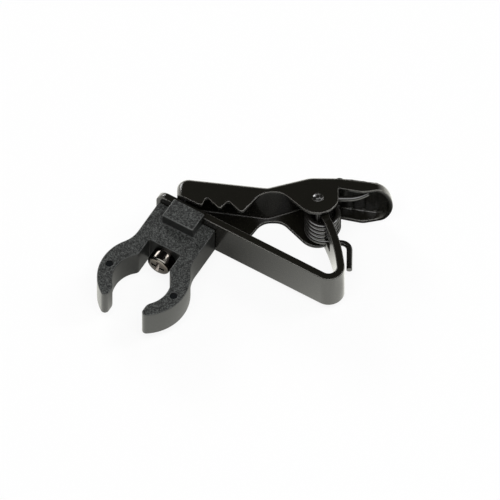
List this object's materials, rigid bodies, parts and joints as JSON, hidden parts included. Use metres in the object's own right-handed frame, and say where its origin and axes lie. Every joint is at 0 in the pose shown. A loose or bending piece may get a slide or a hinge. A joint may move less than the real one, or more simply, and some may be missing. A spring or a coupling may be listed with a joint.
{
  "type": "lavalier microphone clip",
  "caption": "Spring clip for clothing with a C-shaped holder for a small clip-on microphone: bent tie bar, toothed jaw lever with thumb tab, coil spring on a hinge pin.",
  "frame": {"origin": "centre of the grip's round bore, at half the grip's height", "axes": "+X along the flat tie bar from its free end to its bend, +Y from the grip's mouth to the jaw, +Z along the grip's bore and the hinge pin"},
  "size_m": [0.0358, 0.0417, 0.0106],
  "materials": {
    "black_steel": "semi-gloss black coat on sheet steel",
    "pin_steel": "blackened steel",
    "spring_steel": "blackened spring wire",
    "black_nylon": "finely textured moulded plastic, smooth on the sides",
    "screw_steel": "dark nickel plate"
  },
  "bodies": {
    "bar": {"tie_bar": "black_steel", "mic_grip": "black_nylon", "grip_screw": "screw_steel", "torsion_spring": "spring_steel"},
    "jaw": {"jaw_lever": "black_steel", "pivot_pin": "pin_steel"}
  },
  "joints": [
    {"name": "jaw_hinge", "type": "hinge", "parent": "bar", "child": "jaw", "pos_m": [0.01724, 0.02729, 0.0005], "axis": [0, 0, -1], "range_deg": [0, 45], "stiffness_Nm_per_rad": 0.02, "springref_deg": -28.65, "deforming": ["torsion_spring"]}
  ]
}
